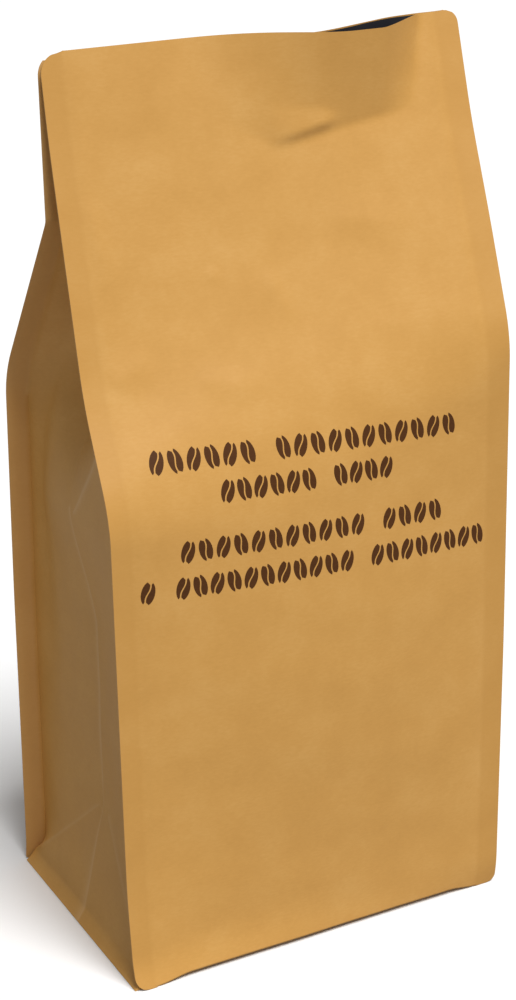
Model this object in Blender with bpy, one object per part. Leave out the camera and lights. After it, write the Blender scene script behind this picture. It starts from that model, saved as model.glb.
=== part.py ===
"""Flat-bottom kraft coffee bag of the one kilogram size, standing open at its top.

Blender 4.5, metres, +Z up. The origin is on the floor at the middle of the base, the front faces -Y.
The bag is one laminate, so it is one solid: a filled body, two side gussets that fold in towards the
flat header, four sealed edges that stand out as fins, and a shallow slot where the mouth gapes.
"""

import bmesh
import bpy
import numpy as np

# Overall
HALF_WIDTH = 0.0750
SEAM_LEFT = 0.0670  # from the middle plane to the seam beside each fin
SEAM_RIGHT = 0.0652
FIN = 0.0008  # thickness of a sealed edge
TOP_LEFT = 0.3112  # height of the top edge over each side
TOP_RIGHT = 0.3192

# Profiles of the four upright edges, from the floor to the top, as (height, place along Y)
FRONT_LEFT = (
    (0, -0.0530), (0.008, -0.0500), (0.034, -0.0473),
    (0.168, -0.0457), (0.204, -0.0285), (0.311, -0.0052),
)
FRONT_RIGHT = (
    (0, -0.0503), (0.008, -0.0515), (0.100, -0.0519),
    (0.212, -0.0505), (0.250, -0.0370), (0.319, -0.0134),
)
REAR_LEFT = (
    (0, 0.0540), (0.008, 0.0525), (0.110, 0.0494),
    (0.198, 0.0445), (0.258, -0.0026), (0.311, -0.0024),
)
REAR_RIGHT = (
    (0, 0.0530), (0.008, 0.0525), (0.080, 0.0515),
    (0.152, 0.0480), (0.264, -0.0113), (0.319, -0.0107),
)
ROLL = 0.004  # half the height over which a fold rolls over
ROLL_SHIFTS = np.linspace(-ROLL, ROLL, 9)

# Fullness of the front and back panels
BULGE = 0.0045
BULGE_FROM, BULGE_TO = 0.006, 0.215

# Rounded ends of the fins
TOP_CORNER_LEFT, TOP_CORNER_RIGHT = 0.0072, 0.0055
FOOT_CORNER = 0.0075
FOOT_PAD, FOOT_PAD_HEIGHT = 0.0024, 0.006  # the gusset starts this far behind the fin at the floor
ARCH = 0.0022  # lift of the bottom folds between the fins
ARCH_SETBACK = 0.0025

# Gussets
GUSSET_HALF = 0.0478  # from a seam to the centre crease
FLOOR_FLARE = 0.0753  # where the lower triangle meets the floor
ANKLE_HEIGHT, ANKLE_OUT = 0.0035, 0.0706
APEX_HEIGHT, APEX_OUT = 0.0426, 0.0622  # top of the lower triangle
WAIST_HEIGHT, WAIST_OUT = 0.115, 0.0618
KNOT_OUT, KNOT_BACK = 0.0668, 0.0070  # where the centre crease starts to dive inwards
KNOT_LEFT, RIDGE_TOP_LEFT = 0.155, 0.177
KNOT_RIGHT, RIDGE_TOP_RIGHT = 0.150, 0.205
DIVE = 0.025  # height over which the crease leaves the side
CORNER_BACK = 0.0024  # from a foot's fin to the corner of the lower triangle
LIE_GAP = 0.0018  # the right gusset lies this close to the back panel where the mouth gapes
LIE_FROM, LIE_TO = 0.250, 0.272

# Mouth
LIP = 0.0080  # how far the front panel is pushed forward at its top edge
LIP_LEFT, LIP_FULL_LEFT, LIP_FULL_RIGHT, LIP_RIGHT = -0.020, 0.022, 0.044, 0.060
LIP_HINGE, LIP_HINGE_SLOPE = 0.2840, 0.22  # height of the valley under the lip at the middle, and its rise
FRONT_DROP, BACK_DROP = 0.0020, 0.0026
BACK_DROP_AT, BACK_DROP_HALF = 0.008, 0.040
SLOT_LEFT, SLOT_RIGHT = -0.006, 0.051  # the slot spans the panel columns between these
SLOT_FLOOR, SLOT_TOP = 0.279, 0.335
WALL, BACK_STACK = 0.0008, 0.0026  # the front panel, and the back panel with the gusset folded on it

# Mesh
SEAM_STEPS, MIDDLE_STEPS, SLOT_ROWS = 6, 5, 8
ROWS_BOTTOM = (0, 0.0018, 0.0045, 0.009, 0.016)
ROW_STEP = 0.0105
ROWS_TOP = (0.016, 0.011, 0.0072, 0.0045, 0.0022, 0.0006, 0)  # below the top edge


def smooth(t):
    """0 to 1 with an even start and end."""
    t = np.clip(t, 0, 1)
    return t * t * (3 - 2 * t)


def across(x):
    """0 at the left fin's edge, 1 at the right one's."""
    return (x + HALF_WIDTH) / (2 * HALF_WIDTH)


def profile(left, right, x, z):
    """Place along Y at height z of a panel stretched between its two upright edges, with its folds rolled."""
    u = across(x)
    corners = [((1 - u) * a[0] + u * b[0], (1 - u) * a[1] + u * b[1]) for a, b in zip(left, right)]
    total = 0
    for shift in ROLL_SHIFTS:
        place = corners[0][1]
        for (low, start), (high, end) in zip(corners, corners[1:]):
            place = place + (end - start) * np.clip((z + shift - low) / (high - low), 0, 1)
        total = total + place
    return total / len(ROLL_SHIFTS)


def fullness(x, z):
    """How far the filled body pushes a panel out."""
    upright = np.sin(np.pi * np.clip((z - BULGE_FROM) / (BULGE_TO - BULGE_FROM), 0, 1)) ** 0.7
    side = np.clip(across(x) * 1.12 - 0.06, 0, 1)
    return BULGE * upright * np.sin(np.pi * side) ** 0.8


def lip_share(x):
    """How much of the lip's full push applies at x."""
    rise = smooth((x - LIP_LEFT) / (LIP_FULL_LEFT - LIP_LEFT))
    return rise * (1 - smooth((x - LIP_FULL_RIGHT) / (LIP_RIGHT - LIP_FULL_RIGHT)))


def top_edge(x):
    return TOP_LEFT + (TOP_RIGHT - TOP_LEFT) * across(x)


def front_y(x, z):
    hinge = LIP_HINGE + LIP_HINGE_SLOPE * x
    lifted = np.clip((z - hinge) / (top_edge(x) - hinge), 0, 1)
    return profile(FRONT_LEFT, FRONT_RIGHT, x, z) - fullness(x, z) - LIP * lip_share(x) * lifted


def back_y(x, z):
    return profile(REAR_LEFT, REAR_RIGHT, x, z) + fullness(x, z)


def heights(x, drop=0.0):
    """Heights of the rows up a column whose top end is at x."""
    top = top_edge(x)
    count = int((TOP_LEFT - ROWS_TOP[0] - ROWS_BOTTOM[-1]) / ROW_STEP)
    middle = np.linspace(ROWS_BOTTOM[-1], top - ROWS_TOP[0], count + 1)[1:-1]
    z = np.concatenate([ROWS_BOTTOM, middle, top - np.array(ROWS_TOP)])
    return z - drop * smooth((z - top + 0.03) / 0.03)


def drop_at(x, front):
    if front:
        return FRONT_DROP * lip_share(x)
    return BACK_DROP * (1 - smooth(abs(x - BACK_DROP_AT) / BACK_DROP_HALF))


def arch_at(x):
    """1 between the fins and 0 on them, for the lift of the bottom folds."""
    return 1 - smooth((abs(x) - 0.056) / 0.012)


def panel_column(x, front):
    z = heights(x, drop_at(x, front))
    y = front_y(x, z) if front else back_y(x, z)
    foot = 1 - smooth(z / ROWS_BOTTOM[2])
    z = z + ARCH * arch_at(x) * foot
    y = y + (ARCH_SETBACK if front else -ARCH_SETBACK) * arch_at(x) * foot
    return np.stack([np.full_like(z, x), y, z], axis=1)


def fin_reach(side, z, top):
    """Distance of a fin's edge from the middle plane, with round ends."""
    round_top = TOP_CORNER_LEFT if side < 0 else TOP_CORNER_RIGHT
    above = np.clip(round_top - (top - z), 0, round_top)
    below = np.clip(FOOT_CORNER - z, 0, FOOT_CORNER)
    cut = round_top - np.sqrt(round_top**2 - above**2) + FOOT_CORNER - np.sqrt(FOOT_CORNER**2 - below**2)
    return HALF_WIDTH - cut


def fin_columns(side, front):
    """The outer and inner corner of a fin's edge."""
    z = heights(side * HALF_WIDTH)
    x = side * fin_reach(side, z, top_edge(side * HALF_WIDTH))
    y = front_y(side * HALF_WIDTH, z) if front else back_y(side * HALF_WIDTH, z)
    inward = FIN if front else -FIN
    return [np.stack([x, y, z], axis=1), np.stack([x, y + inward, z], axis=1)]


def between(a, b, t):
    t = np.broadcast_to(np.asarray(t, float), len(a))[:, None]
    return a + (b - a) * t


def gusset_lines(side, z):
    """The gusset's guide lines in plan at heights z: front seam, fold, ridge, centre crease, fold, rear seam."""
    seam = SEAM_LEFT if side < 0 else SEAM_RIGHT
    knot = KNOT_LEFT if side < 0 else KNOT_RIGHT
    ridge_top = RIDGE_TOP_LEFT if side < 0 else RIDGE_TOP_RIGHT
    inward = FIN + FOOT_PAD * (1 - smooth(z / FOOT_PAD_HEIGHT))
    front = np.stack([np.full_like(z, seam), front_y(side * seam, z) + inward], axis=1)
    rear = np.stack([np.full_like(z, seam), back_y(side * seam, z) - inward], axis=1)

    half_gap = (rear[:, 1] - front[:, 1]) / 2
    deep = seam - np.sqrt(np.clip(GUSSET_HALF**2 - half_gap**2, 0, None))
    stops = (0, ANKLE_HEIGHT, APEX_HEIGHT, WAIST_HEIGHT, knot)
    shallow = np.interp(z, stops, (FLOOR_FLARE, ANKLE_OUT, APEX_OUT, WAIST_OUT, KNOT_OUT))
    dive = smooth((z - knot) / DIVE)
    out = shallow + (deep - shallow) * dive
    middle = (front_y(side * out, z) + back_y(side * out, z)) / 2
    back = KNOT_BACK * smooth((z - WAIST_HEIGHT) / (knot - WAIST_HEIGHT)) * (1 - dive)
    crease = np.stack([out, middle + back], axis=1)

    reach = np.linalg.norm(front - crease, axis=1)
    near_seam = between(front, crease, 0.002 / reach)
    fixed = np.stack([np.interp(np.minimum(z, knot), z, crease[:, k]) for k in (0, 1)], axis=1)
    start = between(fixed, front, 0.002 / reach)
    ridge = between(start, near_seam, (z - knot).clip(0, ridge_top - knot) / (ridge_top - knot))
    fold_front = between(ridge, front, 0.06 + 0.44 * smooth((z - APEX_HEIGHT) / 0.03))
    fold_rear = between(crease, rear, 0.06 + 0.44 * smooth((z - APEX_HEIGHT) / 0.03))

    below = np.clip(z / APEX_HEIGHT, 0, 1)
    for fold, seam_line, inward in ((fold_front, front, CORNER_BACK), (fold_rear, rear, -CORNER_BACK)):
        apex = [np.interp(APEX_HEIGHT, z, fold[:, k]) for k in (0, 1)]
        corner = np.array([FLOOR_FLARE, seam_line[0, 1] + inward])
        fold[below < 1] = (corner + (np.array(apex) - corner) * below[:, None])[below < 1]
    ridge[below < 1] = between(crease, fold_front, 0.1)[below < 1]

    if side > 0:
        lie = smooth((z - LIE_FROM) / (LIE_TO - LIE_FROM))
        lying = [seam - GUSSET_HALF / 3, seam - GUSSET_HALF * 2 / 3, out]
        lying = [np.stack([x + 0 * z, back_y(x, z) - LIE_GAP], axis=1) for x in lying]
        fold_front, ridge = between(fold_front, lying[0], lie), between(ridge, lying[1], lie)
        crease = between(crease, lying[2] + [0, FIN / 2], lie)
        fold_rear = between(fold_rear, between(crease, rear, 0.5), lie)
    return front, fold_front, ridge, crease, fold_rear, rear


def gusset_columns(side):
    """Columns from the front seam to the centre crease and on to the rear seam."""
    seam = SEAM_LEFT if side < 0 else SEAM_RIGHT
    inner = seam - GUSSET_HALF
    steps = SEAM_STEPS // 3
    columns = []
    for number in range(2 * SEAM_STEPS + 1):
        share = abs(number - SEAM_STEPS) / SEAM_STEPS
        top_x = side * (inner + (seam - inner) * share)
        z = heights(top_x)
        lines = gusset_lines(side, z)
        if number <= SEAM_STEPS:
            span, step = divmod(number, steps)
            line = lines[span] if span == 3 else between(lines[span], lines[span + 1], step / steps)
        else:
            span, step = divmod(number - SEAM_STEPS, SEAM_STEPS // 2)
            line = lines[5] if span == 2 else between(lines[span + 3], lines[span + 4], step / (SEAM_STEPS // 2))
        columns.append(np.stack([side * line[:, 0], line[:, 1], z], axis=1))
    return columns


def panel_places():
    """The x of each column of a panel, left to right, with one over each centre crease."""
    crease_left, crease_right = GUSSET_HALF - SEAM_LEFT, SEAM_RIGHT - GUSSET_HALF
    left = np.linspace(-SEAM_LEFT, crease_left, SEAM_STEPS + 1)
    middle = np.linspace(crease_left, crease_right, MIDDLE_STEPS + 1)[1:-1]
    right = np.linspace(crease_right, SEAM_RIGHT, SEAM_STEPS + 1)
    return np.concatenate([left, middle, right])


def make_object(name, collection, grid_faces, points, material=None):
    mesh = bpy.data.meshes.new(name)
    bm = bmesh.new()
    verts = [bm.verts.new(p) for p in points]
    for face in grid_faces:
        bm.faces.new([verts[i] for i in face])
    bmesh.ops.recalc_face_normals(bm, faces=bm.faces)
    bm.to_mesh(mesh)
    bm.free()
    if material:
        mesh.materials.append(material)
    obj = bpy.data.objects.new(name, mesh)
    collection.objects.link(obj)
    return obj


def loft_faces(columns, rows):
    """Quads round a closed loop of columns, each with the same rows."""
    faces = []
    for c in range(columns):
        right = (c + 1) % columns
        for r in range(rows - 1):
            faces.append((c * rows + r, right * rows + r, right * rows + r + 1, c * rows + r + 1))
    return faces


def cap_faces(rows, names):
    """The top of the bag: the front and back stacks beside the gussets, and the middle between them."""
    def top(key, number):
        return names[key][number] * rows + rows - 1

    last = len(names["front"]) - 1
    faces = []
    for panel in ("front", "rear"):
        for i in range(SEAM_STEPS):
            faces.append((top(panel, i), top(panel, i + 1), top(panel + "_left", i + 1), top(panel + "_left", i)))
            j = last - i
            faces.append((top(panel, j), top(panel, j - 1), top(panel + "_right", i + 1), top(panel + "_right", i)))
        for side, end in (("left", 0), ("right", last)):
            tips = names[f"{panel}_fin_{side}"]
            beside = top(f"{panel}_{side}", 0)
            faces.append((tips[0] * rows + rows - 1, top(panel, end), beside, tips[1] * rows + rows - 1))
    for i in range(SEAM_STEPS, last - SEAM_STEPS):
        face = [top("front", i), top("front", i + 1), top("rear", i + 1), top("rear", i)]
        if i == SEAM_STEPS:
            face.append(top("front_left", SEAM_STEPS))
        if i == last - SEAM_STEPS - 1:
            face.insert(2, top("front_right", SEAM_STEPS))
        faces.append(tuple(face))
    return faces


def build_body(collection, material):
    places = panel_places()
    front = [panel_column(x, True) for x in places]
    rear = [panel_column(x, False) for x in places[::-1]]
    right, left = gusset_columns(1), gusset_columns(-1)
    parts = [
        ("front", front),
        ("front_fin_right", fin_columns(1, True)),
        ("right", right),
        ("rear_fin_right", fin_columns(1, False)[::-1]),
        ("rear", rear),
        ("rear_fin_left", fin_columns(-1, False)),
        ("left", left[::-1]),
        ("front_fin_left", fin_columns(-1, True)[::-1]),
    ]
    columns, names = [], {}
    for key, group in parts:
        names[key] = list(range(len(columns), len(columns) + len(group)))
        columns += group
    names["rear"] = names["rear"][::-1]
    names["front_right"] = names["right"][: SEAM_STEPS + 1]
    names["rear_right"] = names["right"][SEAM_STEPS:][::-1]
    names["front_left"] = names["left"][::-1][: SEAM_STEPS + 1]
    names["rear_left"] = names["left"][::-1][SEAM_STEPS:][::-1]
    for key in ("rear_fin_right", "front_fin_left"):
        names[key] = names[key][::-1]

    rows = len(columns[0])
    points = np.concatenate(columns)
    base = points[::rows] * [0.82, 0.80, 0]
    faces = loft_faces(len(columns), rows) + cap_faces(rows, names)
    first = len(points)
    for c in range(len(columns)):
        right_c = (c + 1) % len(columns)
        faces.append((c * rows, first + c, first + right_c, right_c * rows))
    faces.append(tuple(range(first, first + len(columns)))[::-1])
    return make_object("bag", collection, faces, np.concatenate([points, base]), material)


def build_slot(collection):
    """Cutter for the gaping part of the mouth: a lens in plan, as deep as the flat header."""
    xs = [x for x in panel_places() if SLOT_LEFT < x < SLOT_RIGHT]
    z = np.linspace(SLOT_FLOOR, SLOT_TOP, SLOT_ROWS)
    shell_z = np.minimum(z, TOP_RIGHT)
    columns = [np.stack([np.full_like(z, x), front_y(x, shell_z) + WALL, z], axis=1) for x in xs]
    columns += [np.stack([np.full_like(z, x), back_y(x, shell_z) - BACK_STACK, z], axis=1) for x in xs[::-1]]
    rows = len(z)
    faces = loft_faces(len(columns), rows)
    faces.append(tuple(c * rows for c in range(len(columns)))[::-1])
    faces.append(tuple(c * rows + rows - 1 for c in range(len(columns))))
    cutter = make_object("mouth_cutter", collection, faces, np.concatenate(columns))
    cutter.hide_render = True
    cutter.display_type = "WIRE"
    return cutter


def kraft_material():
    material = bpy.data.materials.new("kraft_paper")
    material.use_nodes = True
    shader = material.node_tree.nodes["Principled BSDF"]
    shader.inputs["Base Color"].default_value = (0.63, 0.37, 0.13, 1)
    shader.inputs["Roughness"].default_value = 0.72
    shader.inputs["Metallic"].default_value = 0
    return material


def clear_scene():
    for obj in list(bpy.data.objects):
        bpy.data.objects.remove(obj, do_unlink=True)


def new_collection(name):
    collection = bpy.data.collections.new(name)
    bpy.context.scene.collection.children.link(collection)
    return collection


def main():
    clear_scene()
    parts, cutters = new_collection("coffee_bag"), new_collection("cutters")
    bag = build_body(parts, kraft_material())
    mouth = bag.modifiers.new("mouth", "BOOLEAN")
    mouth.operation = "DIFFERENCE"
    mouth.solver = "EXACT"
    mouth.object = build_slot(cutters)


main()
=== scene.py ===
import bmesh
import bpy
import numpy as np
from mathutils import Matrix, Vector


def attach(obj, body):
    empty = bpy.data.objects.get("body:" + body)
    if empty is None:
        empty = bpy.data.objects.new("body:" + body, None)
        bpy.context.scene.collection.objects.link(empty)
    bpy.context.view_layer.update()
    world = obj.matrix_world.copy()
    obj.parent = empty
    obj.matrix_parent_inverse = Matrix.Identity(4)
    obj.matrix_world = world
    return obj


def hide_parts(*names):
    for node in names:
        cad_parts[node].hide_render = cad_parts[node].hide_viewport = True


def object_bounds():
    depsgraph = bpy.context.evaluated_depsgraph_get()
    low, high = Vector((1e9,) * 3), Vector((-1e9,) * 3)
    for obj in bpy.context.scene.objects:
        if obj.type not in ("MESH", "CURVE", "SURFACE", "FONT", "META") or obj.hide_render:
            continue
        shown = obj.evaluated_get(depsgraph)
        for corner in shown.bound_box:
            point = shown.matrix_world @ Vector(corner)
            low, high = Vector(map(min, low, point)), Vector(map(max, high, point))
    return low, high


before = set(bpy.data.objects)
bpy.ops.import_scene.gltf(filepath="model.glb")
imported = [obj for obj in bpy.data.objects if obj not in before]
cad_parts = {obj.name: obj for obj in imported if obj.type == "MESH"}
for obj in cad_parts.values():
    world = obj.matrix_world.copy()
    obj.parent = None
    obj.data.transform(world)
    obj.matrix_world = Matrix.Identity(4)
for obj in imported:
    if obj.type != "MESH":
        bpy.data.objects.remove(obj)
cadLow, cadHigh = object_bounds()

# Flat-bottom kraft coffee bag: an outer skin, a dark film lining in the mouth and a printed front.
# Metres, front towards -Y. The skin is a loft of upright columns that run once round the bag.

# the four upright edges, from the floor to the top, as (height, place along Y)
bagShape = {
    "halfWidth": cadHigh.x - 0.0003,
    "seamLeft": 0.0670,
    "seamRight": 0.0652,
    "topLeft": 0.3112,
    "topRight": cadHigh.z,
    "frontLeft": ((0, -0.0530), (0.008, -0.0500), (0.034, -0.0473), (0.168, -0.0457),
                  (0.204, -0.0285), (0.283, -0.0096), (0.311, -0.0046)),
    "frontRight": ((0, -0.0503), (0.008, -0.0515), (0.100, -0.0519), (0.212, -0.0505),
                   (0.250, -0.0370), (0.284, -0.0240), (0.319, -0.0134)),
    "frontRolls": (0.0001, 0.004, 0.010, 0.009, 0.010, 0.009),
    "rearLeft": ((0, 0.0540), (0.008, 0.0525), (0.110, 0.0494), (0.198, 0.0445),
                 (0.258, -0.0026), (0.311, -0.0024)),
    "rearRight": ((0, 0.0530), (0.008, 0.0525), (0.080, 0.0515), (0.152, 0.0480),
                  (0.264, -0.0113), (0.319, -0.0107)),
    "rearRolls": (0.0001, 0.004, 0.010, 0.009, 0.0012),
    "middleRoll": 1.9,  # how much softer the folds are between the edges
    "bulge": 0.0045,
    "bulgeFrom": 0.006,
    "bulgeTo": 0.215,
    "bulgeEnds": 1.6,  # how gently the bulge starts at the floor and ends at the shoulder
    "bulgeSides": 0.8,
    "frontRipple": 0.00012,
    "rearRipple": 0.00018,
    "rearCalmFrom": 0.255,  # the ripple dies out over calmReach up to here
    "calmReach": 0.03,
}

finShape = {
    "thickness": 0.0008,
    "topCornerLeft": 0.0072,
    "topCornerRight": 0.0040,
    # front left, front right, rear left, rear right
    "footCorners": {(-1, True): 0.0045, (1, True): 0.0032, (-1, False): 0.0012, (1, False): 0.0025},
    "footPad": 0.0003,
    "footPadHeight": 0.006,
    "step": 0.00022,  # the pressed seal stands this much behind the panel
    "stepWidth": 0.0012,
    "cornerStep": 0.0005,  # the mouth's corners stand this far inside the seams
    # painted light: the fins' inner faces, which face the shaded gussets, are painted paler to stand in for
    # light on them
    "innerPaintedLight": 0.6,  # the inner faces are a little paler
}

gussetShape = {
    "half": 0.0478,  # from a seam to the centre crease
    "floorFlare": cadHigh.x,
    "ankle": (0.0046, 0.0719),
    "apex": (0.0426, 0.0622),
    "waist": (0.115, 0.0618),
    "knotOut": 0.0668,
    "knotBack": 0.0088,
    "knotHeight": {-1: 0.155, 1: 0.150},
    "ridgeTop": {-1: 0.206, 1: 0.205},
    "dive": 0.068,
    "cornerBack": 0.0005,
    "footHeight": 0.0046,
    "cornerOut": 0.0046,
    "lieGap": 0.0018,
    "leafGap": 0.0009,
    "lieFrom": 0.250,
    "lieTo": 0.272,
    "seamRun": 0.002,  # a leaf leaves its seam over this length
    "foldPlace": (0.06, 0.44),
    "foldReach": 0.03,
    "ripple": 0.00022,
    "rearDip": 0.0016,
    "dipPlace": 0.90,  # along the gusset from the front seam to the rear one
    "dipWidth": 0.07,
    "markWidth": 0.8,
    "legMark": 0.5,
}

lipShape = {
    "push": 0.0120,
    "rearShare": 0.35,
    "left": -0.026,
    "fullLeft": 0.030,
    "fullRight": 0.040,
    "right": 0.0605,
    "rightLean": 0.26,
    "hinge": 0.2782,
    "hingeSlope": 0.195,
    "hingeLeft": 0.2790,
    "hingeLeftSlope": -0.50,
    "frontDrop": 0.0022,
    "backDrop": 0.0024,
    "backDropFrom": 0.017,
    "backDropTo": 0.052,
    "dropReach": 0.03,  # the rows over this much of the top take up a drop
    "hingeRoll": 0.0007,
    "rightFall": 1.35,
}

meshSteps = {
    "finColumns": 5,
    "gussetColumns": 30,  # from a seam to the centre crease, and above it on the panels
    "middleColumns": 24,
    "footLift": 0.0016,
    "footLiftReach": 0.022,
    "footSetback": 0.0005,
    "footSetbackReach": 0.0006,
    "archEnd": 0.067,  # the lower edge is arched between the feet
    "archReach": 0.013,
    # spacing of the rows up to each height
    "rowSpacing": ((0.0012, 0.0003), (0.010, 0.0008), (0.046, 0.0017), (0.140, 0.0023), (0.240, 0.0019),
                   (0.308, 0.0012), (0.313, 0.0008), (0.320, 0.00025)),
}

# creases of the front panel: two ends, height of the ridge, reach above it at each end and below it
frontCreases = (
    ((0.0250, 0.2870), (-0.0030, 0.2794), 0.0012, (0.0030, 0.0130), 0.0038),
    ((-0.0092, 0.2406), (-0.0026, 0.2216), 0.0003, (0.0040, 0.0070), 0.0030),
    ((-0.0290, 0.2421), (-0.0247, 0.2367), 0.0002, (0.0030, 0.0030), 0.0030),
    ((-0.0663, 0.2085), (-0.0500, 0.2160), 0.0005, (0.0060, 0.0120), 0.0080),
    ((-0.0400, 0.2080), (-0.0140, 0.2030), 0.0004, (0.0090, 0.0060), 0.0070),
    ((-0.0655, 0.2677), (-0.0625, 0.2352), 0.0003, (0.0060, 0.0060), 0.0020),
    ((0.0150, 0.2560), (0.0480, 0.2500), 0.0003, (0.0090, 0.0090), 0.0090),
)
creaseKeys = ("start", "end", "height", "above", "below")


def smooth(t):
    t = np.clip(t, 0, 1)
    return t * t * (3 - 2 * t)


def ramp(distance, roll):
    # 0 before a fold and the distance after it, with the fold rolled over 2 * roll
    inside = np.clip(distance + roll, 0, 2 * roll)
    return inside**2 / (4 * roll) + np.maximum(distance - roll, 0)


def across(x):
    return (x + bagShape["halfWidth"]) / (2 * bagShape["halfWidth"])


def topEdge(x):
    return bagShape["topLeft"] + (bagShape["topRight"] - bagShape["topLeft"]) * across(x)


def foldedProfile(left, right, rolls, x, z):
    u = across(x)
    corners = [((1 - u) * a[0] + u * b[0], (1 - u) * a[1] + u * b[1]) for a, b in zip(left, right)]
    softer = 1 + bagShape["middleRoll"] * 4 * np.clip(u * (1 - u), 0, 1)
    place, lastSlope = corners[0][1], 0
    for roll, (low, start), (high, end) in zip(rolls, corners, corners[1:]):
        slope = (end - start) / (high - low)
        place = place + (slope - lastSlope) * ramp(z - low, roll * softer)
        lastSlope = slope
    return place


def fullness(x, z):
    height = (z - bagShape["bulgeFrom"]) / (bagShape["bulgeTo"] - bagShape["bulgeFrom"])
    upright = np.sin(np.pi * np.clip(height, 0, 1)) ** bagShape["bulgeEnds"]
    side = np.clip(across(x) * 1.12 - 0.06, 0, 1)  # flat on the seals
    return bagShape["bulge"] * upright * np.sin(np.pi * side) ** bagShape["bulgeSides"]


def lipShare(x, z):
    rise = smooth((x - lipShape["left"]) / (lipShape["fullLeft"] - lipShape["left"]))
    right = lipShape["right"] - lipShape["rightLean"] * np.clip(topEdge(x) - z, 0, 0.03)
    fallen = np.clip((x - lipShape["fullRight"]) / (right - lipShape["fullRight"]), 0, 1)
    return rise * (1 - fallen ** lipShape["rightFall"])


def lipPush(x, z):
    hinge = lipShape["hinge"] + lipShape["hingeSlope"] * x
    hingeLeft = lipShape["hingeLeft"] + lipShape["hingeLeftSlope"] * x
    hinge = np.maximum(hinge, hingeLeft)
    lifted = ramp(z - hinge, lipShape["hingeRoll"]) / np.maximum(topEdge(x) - hinge, 0.004)
    return lipShape["push"] * lipShare(x, z) * np.clip(lifted, 0, 1.05)


def creaseHeight(crease, x, z):
    # a straight ridge with its own reach on each side, fading out towards both ends
    start, end = np.array(crease["start"]), np.array(crease["end"])
    length = np.linalg.norm(end - start)
    along = (end - start) / length
    t = ((x - start[0]) * along[0] + (z - start[1]) * along[1]) / length
    off = (z - start[1]) * along[0] - (x - start[0]) * along[1]
    off = off * np.sign(along[0])
    above = crease["above"][0] + (crease["above"][1] - crease["above"][0]) * np.clip(t, 0, 1)
    side = np.where(off > 0, 1 - off / above, 1 + off / crease["below"])
    fade = smooth(t / 0.25) * smooth((1 - t) / 0.45)
    return crease["height"] * np.clip(side, 0, 1) ** 1.2 * fade


def wavesFor(seed, count, shortest, longest):
    draw = np.random.default_rng(seed)
    lengths = draw.uniform(shortest, longest, count)
    angles = draw.uniform(0, np.pi, count)
    phases = draw.uniform(0, 2 * np.pi, count)
    turns = 2 * np.pi / lengths
    return np.stack([np.cos(angles) * turns, np.sin(angles) * turns, phases], axis=1)


frontWaves = wavesFor(4, 9, 0.022, 0.070)
rearWaves = wavesFor(9, 10, 0.020, 0.060)
gussetWaves = wavesFor(15, 8, 0.018, 0.050)


def ripple(waves, a, b):
    total = 0
    for ka, kb, phase in waves:
        total = total + np.sin(ka * a + kb * b + phase)
    return total / len(waves) ** 0.5


def sealStep(x):
    # 0 on the panel and 1 on the pressed seals beside it
    outside = np.maximum(-x - bagShape["seamLeft"], x - bagShape["seamRight"])
    return smooth(outside / finShape["stepWidth"] + 0.5)


def frontSkin(x, z):
    y = foldedProfile(bagShape["frontLeft"], bagShape["frontRight"], bagShape["frontRolls"], x, z)
    y = y - fullness(x, z) - lipPush(x, z)
    for crease in frontCreases:
        y = y - creaseHeight(dict(zip(creaseKeys, crease)), x, z)
    calm = np.sin(np.pi * np.clip(across(x), 0, 1)) ** 0.5
    y = y + bagShape["frontRipple"] * ripple(frontWaves, x, z) * calm
    return y + finShape["step"] * sealStep(x)


def rearSkin(x, z):
    y = foldedProfile(bagShape["rearLeft"], bagShape["rearRight"], bagShape["rearRolls"], x, z)
    calm = np.sin(np.pi * np.clip(across(x), 0, 1)) ** 0.5
    calm = calm * smooth((bagShape["rearCalmFrom"] - z) / bagShape["calmReach"])
    y = y + fullness(x, z) - lipShape["rearShare"] * lipPush(x, z)
    y = y + bagShape["rearRipple"] * ripple(rearWaves, x, z) * calm
    return y - finShape["step"] * sealStep(x)


def rowLevels():
    heights, z = [0.0], 0.0
    for stop, spacing in meshSteps["rowSpacing"]:
        while z + spacing < stop:
            z += spacing
            heights.append(z)
    middleTop = topEdge(0.0)
    heights = [h for h in heights if h < middleTop - 0.0006] + [middleTop]
    return np.array(heights) / middleTop


levels = rowLevels()
rowCount = len(levels)


def columnHeights(x, drop=0.0):
    top = topEdge(x)
    z = levels * top
    reach = lipShape["dropReach"]
    return z - drop * smooth((z - top + reach) / reach)


def dropAt(x, front):
    if front:
        return lipShape["frontDrop"] * lipShare(x, topEdge(x)) ** 2
    share = (x - lipShape["backDropFrom"]) / (lipShape["backDropTo"] - lipShape["backDropFrom"])
    return lipShape["backDrop"] * (1 - smooth(share))


def archAt(x):
    return 1 - smooth((abs(x) - meshSteps["archEnd"]) / meshSteps["archReach"] + 1)


def panelColumn(x, front):
    z = columnHeights(x, dropAt(x, front))
    y = frontSkin(x, z) if front else rearSkin(x, z)
    inward = 1 if front else -1
    y = y + inward * meshSteps["footSetback"] * (1 - smooth(z / meshSteps["footSetbackReach"]))
    z = z + meshSteps["footLift"] * archAt(x) * (1 - smooth(z / meshSteps["footLiftReach"]))
    return np.stack([np.full_like(z, x), y, z], axis=1)


def finReach(side, front, z):
    # a fin's edge, with its two round corners
    top = topEdge(side * bagShape["halfWidth"])
    roundTop = finShape["topCornerLeft"] if side < 0 else finShape["topCornerRight"]
    roundFoot = finShape["footCorners"][side, front]
    above = np.clip(roundTop - (top - z), 0, roundTop)
    below = np.clip(roundFoot - z, 0, roundFoot)
    cut = roundTop - np.sqrt(roundTop**2 - above**2)
    cut = cut + roundFoot - np.sqrt(roundFoot**2 - below**2)
    return bagShape["halfWidth"] - cut


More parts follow.
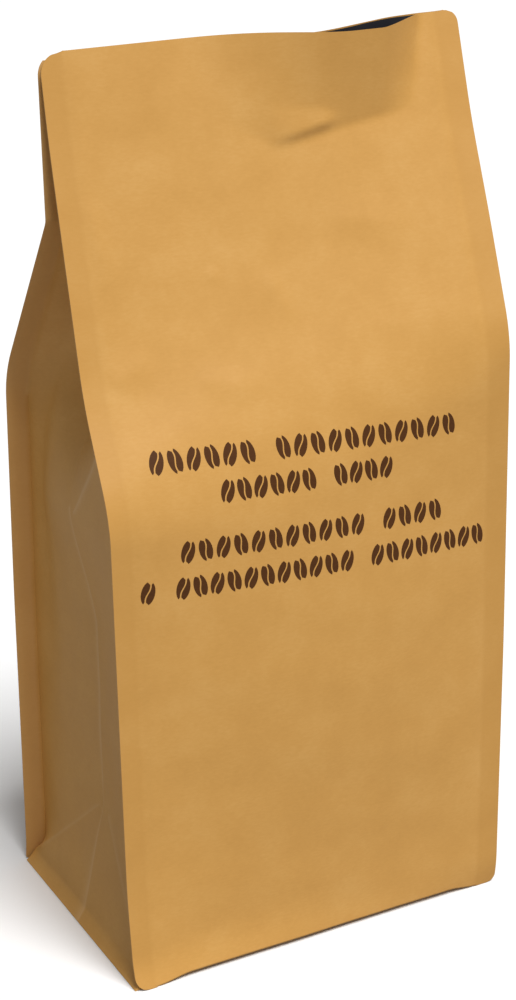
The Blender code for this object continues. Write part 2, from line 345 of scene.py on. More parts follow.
def finColumns(side, front):
    # outer face of the fin from the seam to its edge, then its inner face back to the seam
    seam = bagShape["seamLeft"] if side < 0 else bagShape["seamRight"]
    shares = np.linspace(0, 1, meshSteps["finColumns"] + 1)
    outer, inner = [], []
    for share in shares[1:]:
        place = side * (bagShape["halfWidth"] * share + seam * (1 - share))
        z = columnHeights(place, dropAt(place, front))
        x = side * (seam + (finReach(side, front, z) - seam) * share)
        y = frontSkin(x, z) if front else rearSkin(x, z)
        outer.append(np.stack([x, y, z], axis=1))
        inward = finShape["thickness"] * (1 - 0.25 * (share == 1)) - finShape["step"]
        inner.append(np.stack([x, y + (inward if front else -inward), z], axis=1))
    return outer, inner[::-1]


def between(a, b, t):
    t = np.broadcast_to(np.asarray(t, float), len(a))[:, None]
    return a + (b - a) * t


def lieShare(z):
    # 0 where a gusset leaf stands free and 1 where it lies flat in the header
    return smooth((z - gussetShape["lieFrom"]) / (gussetShape["lieTo"] - gussetShape["lieFrom"]))


def gussetLines(side, z):
    # guide lines in plan: front seam, fold, ridge, centre crease, fold, rear seam
    seam = bagShape["seamLeft"] if side < 0 else bagShape["seamRight"]
    knot, ridgeTop = gussetShape["knotHeight"][side], gussetShape["ridgeTop"][side]
    apexHeight, apexOut = gussetShape["apex"]
    padded = 1 - smooth(z / finShape["footPadHeight"])
    inward = finShape["thickness"] + finShape["footPad"] * padded
    front = np.stack([np.full_like(z, seam), frontSkin(side * seam, z) + inward], axis=1)
    rear = np.stack([np.full_like(z, seam), rearSkin(side * seam, z) - inward], axis=1)

    halfGap = (rear[:, 1] - front[:, 1]) / 2
    deep = seam - np.sqrt(np.clip(gussetShape["half"] ** 2 - halfGap**2, 0, None))
    ankleHeight, ankleOut = gussetShape["ankle"]
    waistHeight, waistOut = gussetShape["waist"]
    stops = (0, ankleHeight, apexHeight, waistHeight, knot)
    outs = (gussetShape["floorFlare"], ankleOut, apexOut, waistOut, gussetShape["knotOut"])
    dive = smooth((z - knot) / gussetShape["dive"])
    out = np.interp(z, stops, outs) * (1 - dive) + deep * dive
    middle = (frontSkin(side * out, z) + rearSkin(side * out, z)) / 2
    back = gussetShape["knotBack"] * smooth((z - waistHeight) / (knot - waistHeight)) * (1 - dive)
    crease = np.stack([out, middle + back], axis=1)

    reach = np.linalg.norm(front - crease, axis=1)
    nearSeam = between(front, crease, gussetShape["seamRun"] / reach)
    fixed = np.stack([np.interp(np.minimum(z, knot), z, crease[:, k]) for k in (0, 1)], axis=1)
    start = between(fixed, front, gussetShape["seamRun"] / reach)
    ridge = between(start, nearSeam, (z - knot).clip(0, ridgeTop - knot) / (ridgeTop - knot))
    foldStart, foldRun = gussetShape["foldPlace"]
    foldShare = foldStart + foldRun * smooth((z - apexHeight) / gussetShape["foldReach"])
    foldFront = between(ridge, front, foldShare)
    foldRear = between(crease, rear, foldShare)

    footHeight = gussetShape["footHeight"]
    below = np.clip((z - footHeight) / (apexHeight - footHeight), 0, 1)
    flare = np.clip(1 - z / footHeight, 0, 1)[:, None] ** 1.5
    cornerOut, cornerBack = gussetShape["cornerOut"], gussetShape["cornerBack"]
    for fold, seamLine, back in ((foldFront, front, cornerBack), (foldRear, rear, -cornerBack)):
        apex = np.array([np.interp(apexHeight, z, fold[:, k]) for k in (0, 1)])
        corner = seamLine + [cornerOut, back]
        spread = np.array([gussetShape["floorFlare"] - seam - cornerOut, 0]) * flare
        fold[below < 1] = (corner + (apex - corner) * below[:, None] + spread)[below < 1]
    ridge[below < 1] = between(crease, foldFront, 0.1)[below < 1]

    if side > 0:
        lie = lieShare(z)
        half, gap = gussetShape["half"], gussetShape["lieGap"]
        lying = [np.stack([x + 0 * z, rearSkin(x, z) - gap], axis=1)
                 for x in (seam - half / 3, seam - half * 2 / 3, out)]
        foldFront, ridge = between(foldFront, lying[0], lie), between(ridge, lying[1], lie)
        crease = between(crease, lying[2] + [0, finShape["thickness"] / 2], lie)
        foldRear = between(foldRear, between(crease, rear, 0.5), lie)
    return front, foldFront, ridge, crease, foldRear, rear


def layLeaf(line, z, frontLeaf):
    # keeps a lying leaf between the two panels, in its place in the stack
    front, rear = frontSkin(line[:, 0], z), rearSkin(line[:, 0], z)
    gap = gussetShape["leafGap"]
    if frontLeaf:
        laid = np.maximum(np.minimum(line[:, 1], rear - gussetShape["lieGap"]), front + gap)
    else:
        laid = np.minimum(np.maximum(line[:, 1], front + 2 * gap), rear - gap)
    return np.stack([line[:, 0], line[:, 1] + (laid - line[:, 1]) * lieShare(z)], axis=1)


def gussetColumns(side):
    seam = bagShape["seamLeft"] if side < 0 else bagShape["seamRight"]
    count = meshSteps["gussetColumns"]
    inner = seam - gussetShape["half"]
    columns, marks = [], []
    for number in range(2 * count + 1):
        share = abs(number - count) / count
        place = side * (inner + (seam - inner) * share)
        z = columnHeights(place, dropAt(place, False) * min(1, number / count * 1.5))
        lines = gussetLines(side, z)
        if number <= count:
            span, step = divmod(number, count // 3)
            along = step / (count // 3)
            line = lines[span] if span == 3 else between(lines[span], lines[span + 1], along)
        else:
            span, step = divmod(number - count, count // 2)
            along = step / (count // 2)
            line = lines[5] if span == 2 else between(lines[span + 3], lines[span + 4], along)
        if side > 0:
            line = layLeaf(line, z, number <= count)
        low = smooth(z / 0.02) * smooth((0.245 - z) / 0.03)
        calm = np.sin(np.pi * number / (2 * count)) ** 0.7 * low
        waves = gussetShape["ripple"] * ripple(gussetWaves, line[:, 1], z) * calm
        fromDip = (number / (2 * count) - gussetShape["dipPlace"]) / gussetShape["dipWidth"]
        dip = gussetShape["rearDip"] * np.exp(-(fromDip**2)) * low
        x = line[:, 0] + waves - dip * smooth((z - 0.05) / 0.1)
        columns.append(np.stack([side * x, line[:, 1], z], axis=1))
        # the gusset folds are painted paler: fold wear on the crease and the legs, and a painted highlight
        # along the ridge
        knot, width = gussetShape["knotHeight"][side], gussetShape["markWidth"]
        onCrease = np.exp(-(((number - count) / width) ** 2)) * (z < knot + 0.002)
        onRidge = np.exp(-(((number - 2 * count // 3) / width) ** 2)) * (z > knot)
        onFold = number == 3 * count // 2 or number == count // 3
        onLeg = gussetShape["legMark"] * onFold * (z > 0.008) * (z < gussetShape["apex"][0])
        marks.append(np.maximum(np.maximum(onCrease, onRidge), onLeg) * np.ones_like(z))
    return columns, marks


def panelPlaces():
    half, count = gussetShape["half"], meshSteps["gussetColumns"]
    seamLeft, seamRight = bagShape["seamLeft"], bagShape["seamRight"]
    left = np.linspace(-seamLeft, half - seamLeft, count + 1)
    middle = np.linspace(half - seamLeft, seamRight - half, meshSteps["middleColumns"] + 1)[1:-1]
    right = np.linspace(seamRight - half, seamRight, count + 1)
    return np.concatenate([left, middle, right])


class Columns:
    # the columns of one loft, with the seal marks and the paler marks that the material reads: fold wear, and
    # painted light on the fins' inner faces and along the gusset ridge
    def __init__(self):
        self.points, self.wear, self.seal, self.names = [], [], [], {}

    def add(self, name, columns, wear=None, seal=0.0):
        first = len(self.points)
        self.names[name] = list(range(first, first + len(columns)))
        for number, column in enumerate(columns):
            self.points.append(column)
            self.wear.append(wear[number] if wear is not None else np.zeros(len(column)))
            self.seal.append(np.full(len(column), seal))


def gatherSkin():
    places = panelPlaces()
    skin = Columns()
    frontRightOuter, frontRightInner = finColumns(1, True)
    rearRightOuter, rearRightInner = finColumns(1, False)
    rearLeftOuter, rearLeftInner = finColumns(-1, False)
    frontLeftOuter, frontLeftInner = finColumns(-1, True)
    right, rightMarks = gussetColumns(1)
    left, leftMarks = gussetColumns(-1)
    # painted light: the fins' inner faces get a paler colour through the wear mask
    paler = [np.full(rowCount, finShape["innerPaintedLight"])] * meshSteps["finColumns"]
    skin.add("frontPanel", [panelColumn(x, True) for x in places])
    skin.add("frontRightOuter", frontRightOuter, seal=1.0)
    skin.add("frontRightInner", frontRightInner, paler)
    skin.add("rightGusset", right, rightMarks)
    skin.add("rearRightInner", rearRightInner[::-1], paler)
    skin.add("rearRightOuter", rearRightOuter[::-1], seal=1.0)
    skin.add("rearPanel", [panelColumn(x, False) for x in places[::-1]])
    skin.add("rearLeftOuter", rearLeftOuter, seal=1.0)
    skin.add("rearLeftInner", rearLeftInner, paler)
    skin.add("leftGusset", left[::-1], leftMarks[::-1])
    skin.add("frontLeftInner", frontLeftInner[::-1], paler)
    skin.add("frontLeftOuter", frontLeftOuter[::-1], seal=1.0)
    return skin


def loftFaces(loop, nextLoop, rows, firstRow=0):
    faces = []
    for a, b in zip(loop, nextLoop):
        for r in range(firstRow, rows - 1):
            faces.append((a * rows + r, b * rows + r, b * rows + r + 1, a * rows + r + 1))
    return faces


def planOffset(column, before, after, distance):
    # moves a column sideways in plan, at right angles to its neighbours
    along = after[:, :2] - before[:, :2]
    along = along / np.linalg.norm(along, axis=1)[:, None]
    moved = column.copy()
    moved[:, 0] -= along[:, 1] * distance
    moved[:, 1] += along[:, 0] * distance
    return moved


def pocketWall(skin, distance, firstRow, lowered=0.0):
    # the inside face of the mouth, as columns in the order of the loop without the fins
    def column(number):
        return skin.points[number][firstRow:]

    def offsetRun(numbers):
        triples = zip(numbers, numbers[1:], numbers[2:])
        return [planOffset(column(b), column(a), column(c), distance) for a, b, c in triples]

    names = skin.names
    corners = {}
    for key, side, panel, end, direction in (
        ("frontLeft", -1, "frontPanel", 0, 1), ("frontRight", 1, "frontPanel", -1, 1),
        ("rearRight", 1, "rearPanel", 0, -1), ("rearLeft", -1, "rearPanel", -1, -1)):
        corner = column(names[panel][end]).copy()
        corner[:, 0] -= side * finShape["cornerStep"]
        corner[:, 1] += direction * (finShape["thickness"] - finShape["step"] * 0.5) / 2
        corners[key] = corner
    wall = {
        "front": [corners["frontLeft"]] + offsetRun(names["frontPanel"]) + [corners["frontRight"]],
        "right": offsetRun(names["rightGusset"]),
        "rear": [corners["rearRight"]] + offsetRun(names["rearPanel"]) + [corners["rearLeft"]],
        "left": offsetRun(names["leftGusset"]),
    }
    for run in wall.values():
        for place in run:
            place[:, 2] -= lowered
    return wall


def wallLoop(wall, offset):
    # numbers of the wall's columns, in the order that they are stored in
    loop, number = {}, offset
    for key in ("front", "right", "rear", "left"):
        loop[key] = list(range(number, number + len(wall[key])))
        number += len(wall[key])
    return loop


def pocketFloor(loop, vertexAt):
    # zips the bottom of the pocket shut: each panel to the gusset leaf behind it,
    # and panel to panel between
    count = meshSteps["gussetColumns"]
    front, rear = loop["front"], loop["rear"][::-1]
    right = [front[-1]] + loop["right"] + [rear[-1]]
    left = ([rear[0]] + loop["left"] + [front[0]])[::-1]
    last = len(front) - 1
    pairs = []
    for panel, leafLeft, leafRight in ((front, left[: count + 1], right[: count + 1]),
                                       (rear, left[count:][::-1], right[count:][::-1])):
        for i in range(count):
            pairs.append((panel[i], panel[i + 1], leafLeft[i + 1], leafLeft[i]))
            j = last - i
            pairs.append((panel[j], panel[j - 1], leafRight[i + 1], leafRight[i]))
    for i in range(count, last - count):
        face = [front[i], front[i + 1], rear[i + 1], rear[i]]
        if i == count:
            face.append(left[count])
        if i == last - count - 1:
            face.insert(2, right[count])
        pairs.append(tuple(face))
    faces = []
    for face in pairs:
        corners = []
        for column in face:
            if vertexAt(column) not in corners:
                corners.append(vertexAt(column))
        if len(corners) > 2:
            faces.append(tuple(corners))
    return faces


def makePiece(name, points, faces, material, values=None, smoothAngle=50):
    mesh = bpy.data.meshes.new(name)
    bm = bmesh.new()
    verts = [bm.verts.new(p) for p in points]
    for face in faces:
        bm.faces.new([verts[i] for i in face])
    bmesh.ops.recalc_face_normals(bm, faces=bm.faces)
    bm.to_mesh(mesh)
    bm.free()
    for key, numbers in (values or {}).items():
        layer = mesh.attributes.new(key, "FLOAT", "POINT")
        layer.data.foreach_set("value", np.asarray(numbers, np.float32))
    mesh.materials.append(material)
    mesh.shade_smooth()
    mesh.set_sharp_from_angle(angle=np.radians(smoothAngle))
    piece = bpy.data.objects.new(name, mesh)
    bpy.context.scene.collection.objects.link(piece)
    return piece


baseShape = {
    # size of each ring, its height, and how much of the arched edge it still follows
    "rings": ((0.985, 0.0, 0.85), (0.95, 0.0, 0.5), (0.88, 0.0, 0.15),
              (0.80, 0.0004, 0.0), (0.60, 0.0010, 0.0), (0.35, 0.0012, 0.0)),
    "middle": 0.0012,
}

mouthShape = {
    "depth": 0.040,
    "skinSheet": 0.00016,
    "liningFrom": 0.00019,
    "liningTo": 0.00028,
    "liningBelowRim": 0.0002,
    "cornerStep": 0.0003,
}


def rimFaces(skin, loop, outerTop, innerTop):
    # joins the top of the outer loft to the top of the pocket, and closes the fins
    names = skin.names
    faces = []

    def strip(outer, inner):
        for a, b, c, d in zip(outer, outer[1:], inner[1:], inner):
            faces.append((outerTop(a), outerTop(b), innerTop(c), innerTop(d)))

    front, rear = loop["front"], loop["rear"]
    strip(names["frontPanel"], front)
    strip(names["rightGusset"], [front[-1]] + loop["right"] + [rear[0]])
    strip(names["rearPanel"], rear)
    strip(names["leftGusset"], [rear[-1]] + loop["left"] + [front[0]])
    for (outer, inner), corner in zip(finPairs(names), (front[-1], rear[0], rear[-1], front[0])):
        faces.append((outerTop(outer[0]), outerTop(inner[0]), innerTop(corner)))
        for a, b, c, d in zip(outer, outer[1:], inner[1:], inner):
            faces.append((outerTop(a), outerTop(b), outerTop(c), outerTop(d)))
    return faces


def baseFaces(points, names):
    # rings under the bag from the outline without the fins to the middle, and the closed feet of the fins
    core = [c for key in ("frontPanel", "rightGusset", "rearPanel", "leftGusset") for c in names[key]]
    count = len(core)
    outline = points[np.array(core) * rowCount]
    rings, faces = [], []
    first = len(points)
    for share, lift, follow in baseShape["rings"]:
        ring = outline * [share, share, follow]
        ring[:, 2] += lift
        rings.append(ring)
    numbers = [[c * rowCount for c in core]]
    numbers += [list(range(first + n * count, first + (n + 1) * count)) for n in range(len(rings))]
    for outer, inner in zip(numbers, numbers[1:]):
        for c in range(count):
            d = (c + 1) % count
            faces.append((outer[c], inner[c], inner[d], outer[d]))
    centre = first + len(rings) * count
    for c in range(count):
        faces.append((numbers[-1][c], centre, numbers[-1][(c + 1) % count]))
    rings.append(np.array([[0, 0, baseShape["middle"]]]))
    for outer, inner in finPairs(names):
        for a, b, c, d in zip(outer, outer[1:], inner[1:], inner):
            faces.append(tuple(v * rowCount for v in (a, b, c, d)))
    return np.concatenate(rings), faces


def finPairs(names):
    # the columns of each fin, from its seam to its edge, outside and inside
    pairs = []
    for panel, end, fin, gusset, start in (
        ("frontPanel", -1, "frontRight", "rightGusset", 0),
        ("rearPanel", 0, "rearRight", "rightGusset", -1),
        ("rearPanel", -1, "rearLeft", "leftGusset", 0),
        ("frontPanel", 0, "frontLeft", "leftGusset", -1)):
        outer, inner = names[fin + "Outer"], names[fin + "Inner"]
        forward = abs(outer[0] - names[panel][end]) == 1
        pairs.append(([names[panel][end]] + (outer if forward else outer[::-1]),
                      [names[gusset][start]] + (inner[::-1] if forward else inner)))
    return pairs


def buildSkin(material):
    skin = gatherSkin()
    columnCount = len(skin.points)
    loop = list(range(columnCount))
    points = np.concatenate(skin.points)
    faces = loftFaces(loop, loop[1:] + loop[:1], rowCount)
    basePoints, underFaces = baseFaces(points, skin.names)
    faces += underFaces
    points = np.concatenate([points, basePoints])

    firstRow = int(np.searchsorted(levels * topEdge(0.0), topEdge(0.0) - mouthShape["depth"]))
    wall = pocketWall(skin, mouthShape["skinSheet"], firstRow)
    wallRows = rowCount - firstRow
    wallNumbers = wallLoop(wall, 0)
    offset = len(points)
    order = [n for key in ("front", "right", "rear", "left") for n in wallNumbers[key]]
    wallFaces = loftFaces(order, order[1:] + order[:1], wallRows)
    faces += [tuple(offset + v for v in face) for face in wallFaces]
    faces += pocketFloor(wallNumbers, lambda c: offset + c * wallRows)
    faces += rimFaces(skin, wallNumbers, lambda c: (c + 1) * rowCount - 1,
                      lambda c: offset + (c + 1) * wallRows - 1)
    keys = ("front", "right", "rear", "left")
    wallPoints = np.concatenate([column for key in keys for column in wall[key]])
    points = np.concatenate([points, wallPoints])

    wear = np.zeros(len(points))
    seal = np.zeros(len(points))
    wear[: columnCount * rowCount] = np.concatenate(skin.wear)
    seal[: columnCount * rowCount] = np.concatenate(skin.seal)
    piece = makePiece("bagSkin", points, faces, material, {"wear": wear, "seal": seal})
    print("bag skin:", len(piece.data.polygons), "faces,", columnCount, "columns,", rowCount, "rows")
    return piece, skin, firstRow


def buildLining(skin, firstRow, material):
    walls = [pocketWall(skin, mouthShape[key], firstRow + 1, mouthShape["liningBelowRim"])
             for key in ("liningFrom", "liningTo")]
    rows = rowCount - firstRow - 1
    keys = ("front", "right", "rear", "left")
    # the corners of both walls would fall together, so the inner one steps in
    corners = ((0, "front", 0, 1, 1), (1, "front", -1, -1, 1), (1, "rear", 0, -1, -1), (0, "rear", -1, 1, -1))
    for _, key, end, sideways, inward in corners:
        walls[1][key][end][:, 0] += sideways * mouthShape["cornerStep"]
    points, faces = [], []
    for number, wall in enumerate(walls):
        numbers = wallLoop(wall, 0)
        offset = sum(len(p) for p in points)
        order = [n for key in keys for n in numbers[key]]
        loft = loftFaces(order, order[1:] + order[:1], rows)
        faces += [tuple(offset + v for v in face) for face in loft]
        faces += pocketFloor(numbers, lambda c: offset + c * rows)
        points.append(np.concatenate([column for key in keys for column in wall[key]]))
    size = len(points[0])
    count = size // rows
    for c in range(count):
        d = (c + 1) % count
        a, b = (c + 1) * rows - 1, (d + 1) * rows - 1
        faces.append((a, b, size + b, size + a))
    piece = makePiece("mouthLining", np.concatenate(points), faces, material)
    print("mouth lining:", len(piece.data.polygons), "faces")
    return piece


printShape = {
    # foot of the row, its left and right ends, beans in each group
    "rows": (
        (0.1802, -0.0594, 0.0531, (6, 11)),
        (0.1687, -0.0366, 0.0277, (6, 4)),
        (0.1506, -0.0522, 0.0472, (11, 4)),
        (0.1385, -0.0662, 0.0652, (1, 11, 8)),
    ),
    "beanHeight": 0.0082,
    "beanWidth": 0.0047,
    "slit": 0.0005,
    "slitSway": 0.0005,
    "tilt": 14,
    "proud": 0.00005,
    "buried": 0.00012,
}


def beanHalf(side):
    # one half of a bean, upright round its own middle: the slit up from its foot, then the rim down
    halfHeight, halfWidth = printShape["beanHeight"] / 2, printShape["beanWidth"] / 2
    v = np.linspace(-1, 1, 11)[1:-1] * 0.93
    sway = printShape["slitSway"] * np.sin(np.pi * v)
    slit = np.stack([sway + side * printShape["slit"] / 2, v * halfHeight], axis=1)
    a = np.linspace(0.40, np.pi - 0.40, 12)
    rim = np.stack([side * halfWidth * np.sin(a), halfHeight * np.cos(a)], axis=1)
    return np.concatenate([slit, rim])


def buildPrint(material):
    points, faces = [], []
    tilt = np.radians(printShape["tilt"])
    for foot, left, right, groups in printShape["rows"]:
        cells = sum(groups) + len(groups) - 1
        pitch = (right - left) / cells
        cell = 0
        for group in groups:
            for number in range(group):
                x = left + (cell + 0.5) * pitch
                z = foot + printShape["beanHeight"] / 2
                turn = tilt if (cell % 2) else -tilt
                for side in (-1, 1):
                    outline = beanHalf(side)
                    cosine, sine = np.cos(turn), np.sin(turn)
                    turned = outline @ np.array([[cosine, sine], [-sine, cosine]])
                    addPlate(points, faces, turned + [x, z])
                cell += 1
            cell += 1
    piece = makePiece("frontPrint", np.concatenate(points), faces, material)
    print("front print:", len(piece.data.polygons), "faces")
    return piece


def addPlate(points, faces, outline):
    # a thin closed plate that lies in the skin, from its outline and a middle point on each face
    first = sum(len(p) for p in points)
    count = len(outline)
    flat = np.concatenate([outline, outline.mean(axis=0)[None]])
    y = frontSkin(flat[:, 0], flat[:, 1])
    for offset in (-printShape["proud"], printShape["buried"]):
        points.append(np.stack([flat[:, 0], y + offset, flat[:, 1]], axis=1))
    top, bottom = first, first + count + 1
    for a in range(count):
        b = (a + 1) % count
        faces.append((top + a, top + b, top + count))
        faces.append((bottom + b, bottom + a, bottom + count))
        faces.append((top + b, top + a, bottom + a, bottom + b))


def newGroup(name, inputs, outputs):
    group = bpy.data.node_groups.new(name, "ShaderNodeTree")
    for key, kind, value in inputs:
        socket = group.interface.new_socket(name=key, in_out="INPUT", socket_type=kind)
        socket.default_value = value
    for key, kind in outputs:
        group.interface.new_socket(name=key, in_out="OUTPUT", socket_type=kind)
    return group, group.nodes.new("NodeGroupInput"), group.nodes.new("NodeGroupOutput")


def noiseNode(tree, vector, scale, detail=3.0, roughness=0.55):
    node = tree.nodes.new("ShaderNodeTexNoise")
    node.inputs["Scale"].default_value = scale
    node.inputs["Detail"].default_value = detail
    node.inputs["Roughness"].default_value = roughness
    tree.links.new(vector, node.inputs["Vector"])
    return node.outputs["Fac"]


def mathNode(tree, operation, a, b):
    node = tree.nodes.new("ShaderNodeMath")
    node.operation = operation
    for socket, value in zip(node.inputs, (a, b)):
        if isinstance(value, (int, float)):
            socket.default_value = value
        else:
            tree.links.new(value, socket)
    return node.outputs["Value"]


def stretchNode(tree, vector, scale):
    node = tree.nodes.new("ShaderNodeMapping")
    node.inputs["Scale"].default_value = scale
    tree.links.new(vector, node.inputs["Vector"])
    return node.outputs["Vector"]


def paperGrainGroup():
    # cloudy mottle, fine fibres and the faint level lines of the paper machine, each round 0
    kind = "NodeSocketFloat"
    inputs = (("Cloud Size", kind, 55.0), ("Fibre Size", kind, 1400.0), ("Line Size", kind, 700.0))
    outputs = [(key, kind) for key in ("Cloud", "Fibre", "Lines", "Height")]
    group, start, end = newGroup("paperGrain", inputs, outputs)
    place = group.nodes.new("ShaderNodeTexCoord").outputs["Object"]
    cloud = noiseNode(group, place, 1.0, 4.0, 0.6)
    group.links.new(start.outputs["Cloud Size"], cloud.node.inputs["Scale"])
    fibre = noiseNode(group, stretchNode(group, place, (0.35, 0.35, 1.0)), 1.0, 3.0, 0.6)
    group.links.new(start.outputs["Fibre Size"], fibre.node.inputs["Scale"])
    lines = noiseNode(group, stretchNode(group, place, (0.03, 0.03, 1.0)), 1.0, 2.0, 0.5)
    group.links.new(start.outputs["Line Size"], lines.node.inputs["Scale"])
    for key, value in (("Cloud", cloud), ("Fibre", fibre), ("Lines", lines)):
        group.links.new(mathNode(group, "SUBTRACT", value, 0.5), end.inputs[key])
    fine, coarse = mathNode(group, "MULTIPLY", fibre, 0.7), mathNode(group, "MULTIPLY", lines, 0.3)
    height = mathNode(group, "ADD", fine, coarse)
    group.links.new(height, end.inputs["Height"])
    return group


def newMaterial(name):
    material = bpy.data.materials.new(name)
    material.use_nodes = True
    tree = material.node_tree
    return material, tree, tree.nodes["Principled BSDF"]


def addGrain(tree, group, cloudSize, fibreSize, lineSize):
    grain = tree.nodes.new("ShaderNodeGroup")
    grain.node_tree = group
    for key, value in (("Cloud Size", cloudSize), ("Fibre Size", fibreSize), ("Line Size", lineSize)):
        grain.inputs[key].default_value = value
    return grain


def attributeValue(tree, name):
    node = tree.nodes.new("ShaderNodeAttribute")
    node.attribute_name = name
    return node.outputs["Fac"]


def mixColour(tree, share, a, b):
    node = tree.nodes.new("ShaderNodeMix")
    node.data_type = "RGBA"
    tree.links.new(share, node.inputs["Factor"])
    for socket, value in ((node.inputs[6], a), (node.inputs[7], b)):
        if isinstance(value, tuple):
            socket.default_value = (*value, 1)
        else:
            tree.links.new(value, socket)
    return node.outputs[2]


def addBump(tree, shader, height, strength, distance):
    bump = tree.nodes.new("ShaderNodeBump")
    bump.inputs["Strength"].default_value = strength
    bump.inputs["Distance"].default_value = distance
    tree.links.new(height, bump.inputs["Height"])
    tree.links.new(bump.outputs["Normal"], shader.inputs["Normal"])


def addRoughness(tree, shader, grain, change, middle):
    rough = mathNode(tree, "MULTIPLY", grain.outputs["Cloud"], change)
    tree.links.new(mathNode(tree, "ADD", rough, middle), shader.inputs["Roughness"])


kraftLook = {
    "colour": (0.612, 0.320, 0.078),
    "light": (0.690, 0.390, 0.116),
    "deep": (0.535, 0.268, 0.058),
    # paler colour for fold wear and for the painted light on the fins' inner faces and the gusset ridge
    "wornAndLit": (0.700, 0.440, 0.200),
    "cloud": 1.5,
    "fibre": 0.90,
    "lines": 0.08,
    "roughness": 0.50,
    "specular": 0.36,
    "bump": 0.14,
    "bumpDepth": 0.0002,
    "wornAndLitShare": 0.55,
    "sealShare": 0.40,
    "cloudRough": 0.15,
    "grainSizes": (55.0, 1500.0, 800.0),
}


def kraftMaterial(grainGroup):
    material, tree, shader = newMaterial("kraft_paper")
    grain = addGrain(tree, grainGroup, *kraftLook["grainSizes"])
    tone = mathNode(tree, "MULTIPLY", grain.outputs["Cloud"], kraftLook["cloud"])
    for output, key in (("Fibre", "fibre"), ("Lines", "lines")):
        part = mathNode(tree, "MULTIPLY", grain.outputs[output], kraftLook[key])
        tone = mathNode(tree, "ADD", tone, part)
    lighter = mathNode(tree, "MAXIMUM", tone, 0.0)
    darker = mathNode(tree, "MAXIMUM", mathNode(tree, "MULTIPLY", tone, -1.0), 0.0)
    lighter, darker = mathNode(tree, "MINIMUM", lighter, 1.0), mathNode(tree, "MINIMUM", darker, 1.0)
    colour = mixColour(tree, lighter, kraftLook["colour"], kraftLook["light"])
    colour = mixColour(tree, darker, colour, kraftLook["deep"])
    # wear mixed with painted light: the fold lines and the fins' inner faces are painted paler
    wornAndLit = mathNode(tree, "MULTIPLY", attributeValue(tree, "wear"), kraftLook["wornAndLitShare"])
    colour = mixColour(tree, wornAndLit, colour, kraftLook["wornAndLit"])
    sealed = mathNode(tree, "MULTIPLY", attributeValue(tree, "seal"), kraftLook["sealShare"])
    colour = mixColour(tree, sealed, colour, kraftLook["deep"])
    tree.links.new(colour, shader.inputs["Base Color"])
    addRoughness(tree, shader, grain, kraftLook["cloudRough"], kraftLook["roughness"])
    shader.inputs["Specular IOR Level"].default_value = kraftLook["specular"]
    addBump(tree, shader, grain.outputs["Height"], kraftLook["bump"], kraftLook["bumpDepth"])
    return material


liningLook = {
    "deep": (0.022, 0.022, 0.028),
    "light": (0.045, 0.045, 0.052),
    "roughness": 0.36,
    "cloudRough": 0.2,
    "bump": 0.06,
    "bumpDepth": 0.0003,
    "grainSizes": (90.0, 500.0, 300.0),
}


def liningMaterial(grainGroup):
    material, tree, shader = newMaterial("lining")
    grain = addGrain(tree, grainGroup, *liningLook["grainSizes"])
    share = mathNode(tree, "ADD", grain.outputs["Cloud"], 0.5)
    colour = mixColour(tree, share, liningLook["deep"], liningLook["light"])
    tree.links.new(colour, shader.inputs["Base Color"])
    addRoughness(tree, shader, grain, liningLook["cloudRough"], liningLook["roughness"])
    addBump(tree, shader, grain.outputs["Height"], liningLook["bump"], liningLook["bumpDepth"])
    return material


inkLook = {
    "deep": (0.066, 0.021, 0.003),
    "light": (0.104, 0.036, 0.007),
    "fibre": 0.9,
    "lightShare": 0.4,
    "roughness": 0.55,
    "cloudRough": 0.15,
    "specular": 0.20,
    "bump": 0.10,
    "bumpDepth": 0.0002,
    "grainSizes": (120.0, 1500.0, 800.0),
}


def inkMaterial(grainGroup):
    material, tree, shader = newMaterial("print")
    grain = addGrain(tree, grainGroup, *inkLook["grainSizes"])
    share = mathNode(tree, "MULTIPLY", grain.outputs["Fibre"], inkLook["fibre"])
    share = mathNode(tree, "ADD", share, inkLook["lightShare"])
    colour = mixColour(tree, share, inkLook["deep"], inkLook["light"])
    tree.links.new(colour, shader.inputs["Base Color"])
    addRoughness(tree, shader, grain, inkLook["cloudRough"], inkLook["roughness"])
    shader.inputs["Specular IOR Level"].default_value = inkLook["specular"]
    addBump(tree, shader, grain.outputs["Height"], inkLook["bump"], inkLook["bumpDepth"])
    return material


stageLook = {
    "floorSize": 40.0,
    "floorSeen": (0.93, 0.93, 0.93),
    "floorBounce": (0.38, 0.38, 0.38),
    "worldStrength": 0.26,
    "floorRoughness": 0.8,
    "floorBelow": 0.0002,
    "backdrop": 0.96,
    "sunStrength": 3.45,
    "sunAzimuth": 8,  # from the front towards the right
    "sunElevation": 60,
    "sunAngle": 28,
}


def buildStage():
    mesh = bpy.data.meshes.new("floor")
    half = stageLook["floorSize"] / 2
    corners = [(-half, -half, 0), (half, -half, 0), (half, half, 0), (-half, half, 0)]
    mesh.from_pydata(corners, [], [(0, 1, 2, 3)])
    material, tree, shader = newMaterial("floor")
    seen = tree.nodes.new("ShaderNodeLightPath").outputs["Is Camera Ray"]
    colour = mixColour(tree, seen, stageLook["floorBounce"], stageLook["floorSeen"])
    tree.links.new(colour, shader.inputs["Base Color"])
    shader.inputs["Roughness"].default_value = stageLook["floorRoughness"]
    mesh.materials.append(material)
    floor = bpy.data.objects.new("floor", mesh)
    floor.location.z = -stageLook["floorBelow"]
    bpy.context.scene.collection.objects.link(floor)


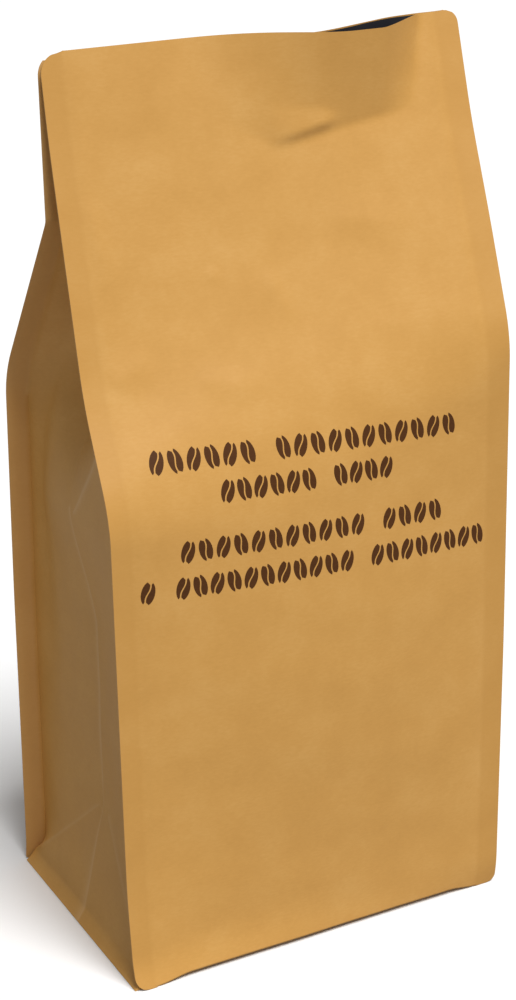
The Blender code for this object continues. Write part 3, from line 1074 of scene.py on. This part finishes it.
def buildLights():
    world = bpy.data.worlds.new("studio")
    world.use_nodes = True
    bpy.context.scene.world = world
    tree = world.node_tree
    tree.nodes.clear()
    output = tree.nodes.new("ShaderNodeOutputWorld")
    mix = tree.nodes.new("ShaderNodeMixShader")
    seen = tree.nodes.new("ShaderNodeLightPath")
    for number, strength in ((1, stageLook["worldStrength"]), (2, stageLook["backdrop"])):
        background = tree.nodes.new("ShaderNodeBackground")
        background.inputs["Color"].default_value = (1, 1, 1, 1)
        background.inputs["Strength"].default_value = strength
        tree.links.new(background.outputs["Background"], mix.inputs[number])
    tree.links.new(seen.outputs["Is Camera Ray"], mix.inputs["Fac"])
    tree.links.new(mix.outputs["Shader"], output.inputs["Surface"])

    lamp = bpy.data.lights.new("softKey", "SUN")
    lamp.energy = stageLook["sunStrength"]
    lamp.angle = np.radians(stageLook["sunAngle"])
    key = bpy.data.objects.new("softKey", lamp)
    azimuth, elevation = np.radians(stageLook["sunAzimuth"]), np.radians(stageLook["sunElevation"])
    level = np.cos(elevation)
    towards = Vector((np.sin(azimuth) * level, -np.cos(azimuth) * level, np.sin(elevation)))
    key.rotation_euler = towards.to_track_quat("Z", "Y").to_euler()
    bpy.context.scene.collection.objects.link(key)


cameraPlace = {
    "location": (-0.2844, -0.5459, 0.3524),
    "yaw": 27.70,
    "pitch": 18.14,
    "roll": -0.88,
    "lens": 64.73,
    "sensor": 36.0,
}


def buildCamera():
    yaw, pitch, roll = (np.radians(cameraPlace[key]) for key in ("yaw", "pitch", "roll"))
    forward = Vector((np.sin(yaw) * np.cos(pitch), np.cos(yaw) * np.cos(pitch), -np.sin(pitch)))
    right = Vector((np.cos(yaw), -np.sin(yaw), 0))
    up = right.cross(forward)
    tilted = right * np.cos(roll) + up * np.sin(roll)
    upright = -right * np.sin(roll) + up * np.cos(roll)
    data = bpy.data.cameras.new("camera")
    data.lens = cameraPlace["lens"]
    data.sensor_width = cameraPlace["sensor"]
    data.clip_start = 0.01
    data.clip_end = 100
    camera = bpy.data.objects.new("camera", data)
    axes = Matrix((tilted, upright, -forward)).transposed().to_4x4()
    camera.matrix_world = Matrix.Translation(cameraPlace["location"]) @ axes
    bpy.context.scene.collection.objects.link(camera)
    bpy.context.scene.camera = camera


def buildBag():
    grainGroup = paperGrainGroup()
    skin, columns, firstRow = buildSkin(kraftMaterial(grainGroup))
    lining = buildLining(columns, firstRow, liningMaterial(grainGroup))
    ink = buildPrint(inkMaterial(grainGroup))
    for piece, slot in ((skin, "kraft_paper"), (lining, "lining"), (ink, "print")):
        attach(piece, "root")
        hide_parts("bag")


bpy.context.scene.view_settings.view_transform = "Standard"
buildCamera()
buildStage()
buildLights()
buildBag()
print("scene ready")
